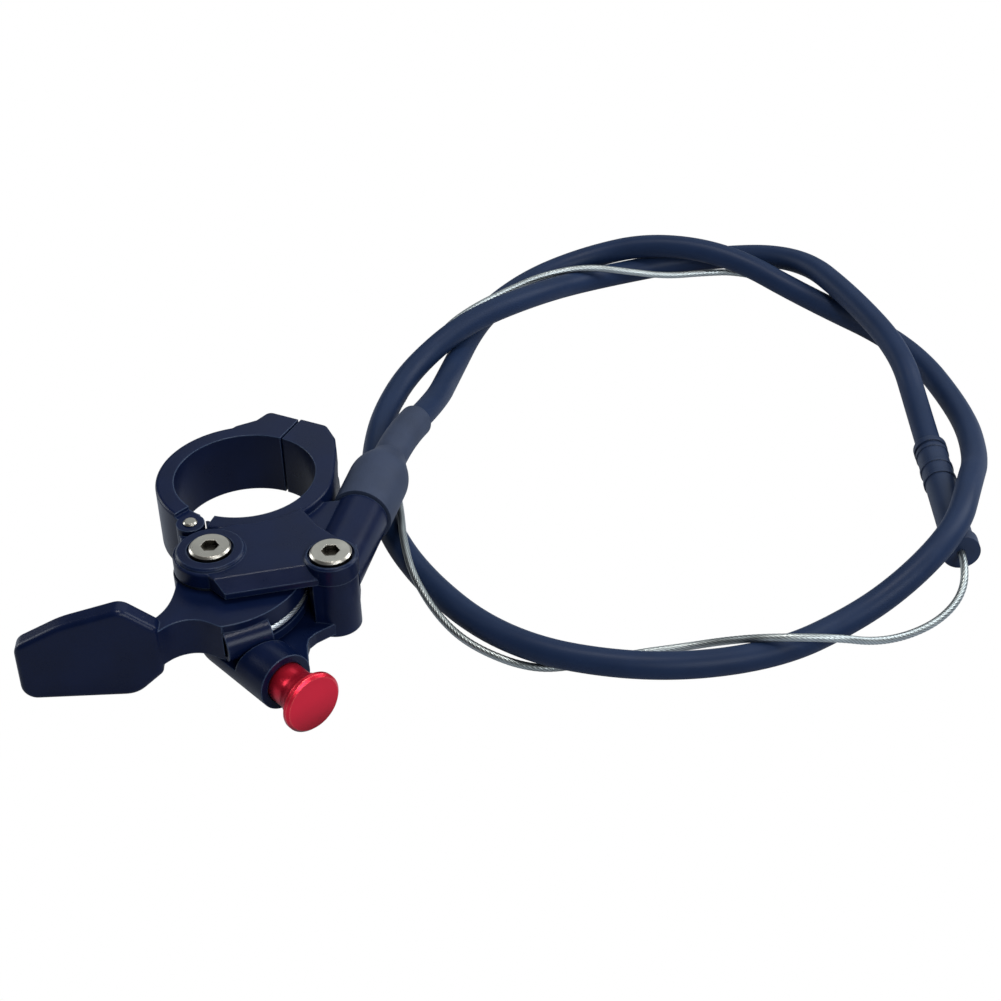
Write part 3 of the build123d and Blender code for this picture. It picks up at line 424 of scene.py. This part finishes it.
bare_wire = stranded_tube("bare_wire", wire_line, WIRE_RADIUS, strand_finish)
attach(bare_wire, "body")
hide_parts("inner_wire")


# The wire on the drum, with angles in degrees about the pivot. The wrapped wire turns with the lever. The fed wire
# stays on the body, inside the wrapped wire at rest, and shows behind its end once the lever has turned.
PIVOT = (-3.5, -21.1, -0.4)
WRAP_RADIUS = 13.4
ANCHOR_ANGLE = -66.0
LEAVING_ANGLE = 13.7
FED_START = -27.5
FED_RADIUS = 0.50 * MM
RINGS_PER_DEGREE = 2.26


def drum_wire(name, start_angle, radius):
    """Wire on the drum up to where the straight run leaves: pivot + wrap radius * (cos t, sin t, 0)."""
    count = int((LEAVING_ANGLE - start_angle) * RINGS_PER_DEGREE)
    turn = np.radians(np.linspace(start_angle, LEAVING_ANGLE, count))
    spokes = np.stack([np.cos(turn), np.sin(turn), np.zeros(count)], 1)
    points = (np.array(PIVOT) + WRAP_RADIUS * spokes) * MM
    gone = (turn - math.radians(ANCHOR_ANGLE)) * WRAP_RADIUS * MM
    # Painted highlight: the lighter copy of the wire finish.
    return stranded_tube(name, (points, gone), radius, painted_highlight_strand)


wrapped = drum_wire("wrapped_wire", ANCHOR_ANGLE, WIRE_RADIUS)
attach(wrapped, "lever")
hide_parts("drum_cable")
fed = drum_wire("fed_wire", FED_START, FED_RADIUS)
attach(fed, "body")


# Studio
def area_light(name, place, target, size, power, colour=WHITE[:3]):
    """Rectangular lamp at a place in metres that faces the target, with its power in watts."""
    lamp = bpy.data.lights.new(name, "AREA")
    lamp.shape = "RECTANGLE"
    lamp.size, lamp.size_y = size
    lamp.energy = power
    lamp.color = colour
    made = bpy.data.objects.new(name, lamp)
    bpy.context.scene.collection.objects.link(made)
    made.location = place
    made.rotation_euler = (Vector(target) - Vector(place)).to_track_quat("-Z", "Y").to_euler()


def floor_finish():
    """White to the camera, pale blue grey to every other ray, and a little paler than that in reflections."""
    material = bpy.data.materials.new("pale_floor")
    material.use_nodes = True
    tree = material.node_tree
    shader = tree.nodes["Principled BSDF"]
    start = Signal(tree, shader.outputs[0])
    connect(shader, Base_Color=FLOOR, Roughness=0.8)
    seen = start.node("ShaderNodeLightPath", output="Is Camera Ray")
    mirrored = start.node("ShaderNodeLightPath", output="Is Glossy Ray")
    glow = start.node("ShaderNodeEmission", {"Color": WHITE, "Strength": 1.0})
    mixed = start.node("ShaderNodeMixShader", {0: seen + mirrored * MIRRORED_GLOW, 1: start, 2: glow})
    tree.links.new(mixed.socket, tree.nodes["Material Output"].inputs["Surface"])
    return material


corners = [(x * FLOOR_HALF, y * FLOOR_HALF, TABLE) for x, y in ((-1, -1), (1, -1), (1, 1), (-1, 1))]
floor_mesh = bpy.data.meshes.new("floor")
floor_mesh.from_pydata(corners, [], [(0, 1, 2, 3)])
floor = bpy.data.objects.new("floor", floor_mesh)
bpy.context.scene.collection.objects.link(floor)
floor_mesh.materials.append(floor_finish())

world = bpy.data.worlds.new("studio")
bpy.context.scene.world = world
world.use_nodes = True
world.node_tree.nodes["Background"].inputs["Color"].default_value = SKY
world.node_tree.nodes["Background"].inputs["Strength"].default_value = WORLD_STRENGTH
MIDDLE = (0.04, 0.0, 0.0)
COIL_SIDE = (0.10, 0.02, 0.0)
area_light("overhead", (0.02, 0.04, 0.60), MIDDLE, (0.14, 0.14), 1.8)
area_light("back_panel", (0.16, 0.60, 0.43), MIDDLE, (0.60, 0.50), 0.80, COOL_BACK_LIGHT)
area_light("front_softbox", (0.36, -0.50, 0.42), MIDDLE, (0.5, 0.3), 3.7, COOL_LIGHT)
area_light("left_softbox", (-0.52, 0.26, 0.16), MIDDLE, (0.25, 0.4), 1.5, COOL_LIGHT)
area_light("right_softbox", (0.36, 0.12, 0.24), COIL_SIDE, (0.20, 0.30), 1.15, COOL_LIGHT)

camera_data = bpy.data.cameras.new("photo_camera")
camera_data.lens = LENS
camera_data.sensor_width = SENSOR
camera_data.clip_start = 0.01
camera = bpy.data.objects.new("photo_camera", camera_data)
bpy.context.scene.collection.objects.link(camera)
ahead = Vector((0, math.cos(PITCH), -math.sin(PITCH)))
level_up = Vector((0, math.sin(PITCH), math.cos(PITCH)))
level_right = Vector((1, 0, 0))
right = math.cos(ROLL) * level_right + math.sin(ROLL) * level_up
up = -math.sin(ROLL) * level_right + math.cos(ROLL) * level_up
camera.matrix_world = Matrix.Translation(CAMERA_PLACE) @ Matrix((right, up, -ahead)).transposed().to_4x4()
bpy.context.scene.camera = camera
bpy.context.scene.view_settings.view_transform = "Standard"
